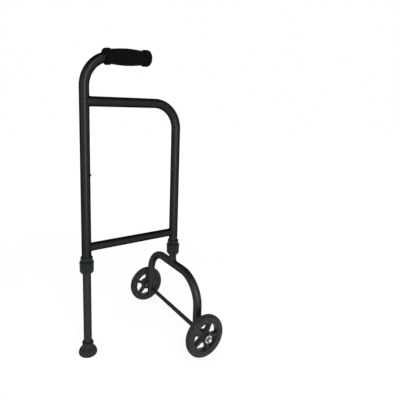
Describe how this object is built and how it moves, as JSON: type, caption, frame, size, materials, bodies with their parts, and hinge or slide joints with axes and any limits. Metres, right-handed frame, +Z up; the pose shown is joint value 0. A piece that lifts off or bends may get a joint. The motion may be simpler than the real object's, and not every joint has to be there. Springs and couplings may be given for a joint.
{
  "type": "wheeled walking cane",
  "caption": "Adjustable walking cane with a padded hand grip, a rear rubber foot and an arched front fork on wheels, with telescopic legs, snap buttons and twist locks.",
  "frame": {"origin": "centre of the rubber foot's sole, on the floor", "axes": "+X towards the wheels, the walking direction; +Y left; +Z up"},
  "size_m": [0.354, 0.3736, 0.8111],
  "materials": {
    "frame_paint": "dark metallic paint, satin",
    "grip_foam": "closed-cell foam, matt",
    "black_plastic": "moulded, satin",
    "nut_plastic": "moulded, satin",
    "wheel_plastic": "moulded, satin",
    "white_plastic": "moulded, smooth",
    "tyre_rubber": "matt grey rubber",
    "foot_rubber": "matt rubber",
    "steel": "bright zinc plate"
  },
  "bodies": {
    "frame": {"main_post": "frame_paint", "front_bow": "frame_paint", "crossbar": "frame_paint", "grip": "grip_foam", "grip_end_plug": "black_plastic", "rear_collar": "black_plastic", "front_collar": "black_plastic"},
    "rear_leg": {"rear_leg_tube": "frame_paint", "rear_leg_plug": "black_plastic", "rear_button_spring": "steel", "foot_washer": "steel", "foot_ferrule": "foot_rubber"},
    "front_fork": {"front_leg_tube": "frame_paint", "front_leg_plug": "black_plastic", "front_button_spring": "steel", "fork_arch": "frame_paint", "tie_bar": "frame_paint", "axle_rod": "steel", "left_arm_cap": "black_plastic", "right_arm_cap": "black_plastic", "left_wheel_spacer": "black_plastic", "right_wheel_spacer": "black_plastic", "left_outer_washer": "steel", "right_outer_washer": "steel", "left_wheel_nut": "steel", "right_wheel_nut": "steel"},
    "rear_button": {"rear_snap_button": "steel"},
    "front_button": {"front_snap_button": "steel"},
    "rear_ring": {"rear_clamp_ring": "black_plastic"},
    "front_ring": {"front_clamp_ring": "black_plastic"},
    "rear_nut": {"rear_lock_nut": "nut_plastic"},
    "front_nut": {"front_lock_nut": "nut_plastic"},
    "left_wheel": {"left_rim": "wheel_plastic", "left_tyre": "tyre_rubber", "left_inner_bush": "white_plastic", "left_outer_bush": "white_plastic"},
    "right_wheel": {"right_rim": "wheel_plastic", "right_tyre": "tyre_rubber", "right_inner_bush": "white_plastic", "right_outer_bush": "white_plastic"}
  },
  "joints": [
    {"name": "rear_leg_slide", "type": "slide", "parent": "frame", "child": "rear_leg", "axis": [0, 0, -1], "range_m": [0, 0.15]},
    {"name": "rear_button_press", "type": "slide", "parent": "rear_leg", "child": "rear_button", "axis": [-1, 0, 0], "range_m": [0, 0.0053], "stiffness_N_per_m": 1500, "springref_m": -0.002, "deforming": ["rear_button_spring"]},
    {"name": "rear_ring_slide", "type": "slide", "parent": "frame", "child": "rear_ring", "axis": [0, 0, -1], "range_m": [0, 0.003]},
    {"name": "rear_nut_turn", "type": "hinge", "parent": "rear_ring", "child": "rear_nut", "pos_m": [0, 0, 0.245], "axis": [0, 0, -1], "range_deg": [0, 360]},
    {"name": "front_leg_slide", "type": "slide", "parent": "frame", "child": "front_fork", "axis": [0, 0, -1], "range_m": [0, 0.15]},
    {"name": "front_button_press", "type": "slide", "parent": "front_fork", "child": "front_button", "axis": [1, 0, 0], "range_m": [0, 0.0053], "stiffness_N_per_m": 1500, "springref_m": -0.002, "deforming": ["front_button_spring"]},
    {"name": "front_ring_slide", "type": "slide", "parent": "frame", "child": "front_ring", "axis": [0, 0, -1], "range_m": [0, 0.003]},
    {"name": "front_nut_turn", "type": "hinge", "parent": "front_ring", "child": "front_nut", "pos_m": [0.27, 0, 0.245], "axis": [0, 0, -1], "range_deg": [0, 360]},
    {"name": "left_wheel_spin", "type": "hinge", "parent": "front_fork", "child": "left_wheel", "pos_m": [0.27, 0.162, 0.059], "axis": [0, 1, 0], "continuous": true},
    {"name": "right_wheel_spin", "type": "hinge", "parent": "front_fork", "child": "right_wheel", "pos_m": [0.27, -0.162, 0.059], "axis": [0, 1, 0], "continuous": true}
  ],
  "couplings": [
    {"joint": "rear_nut_turn", "follows": "rear_ring_slide", "rad_per_m": 2094.3},
    {"joint": "front_nut_turn", "follows": "front_ring_slide", "rad_per_m": 2094.3}
  ]
}
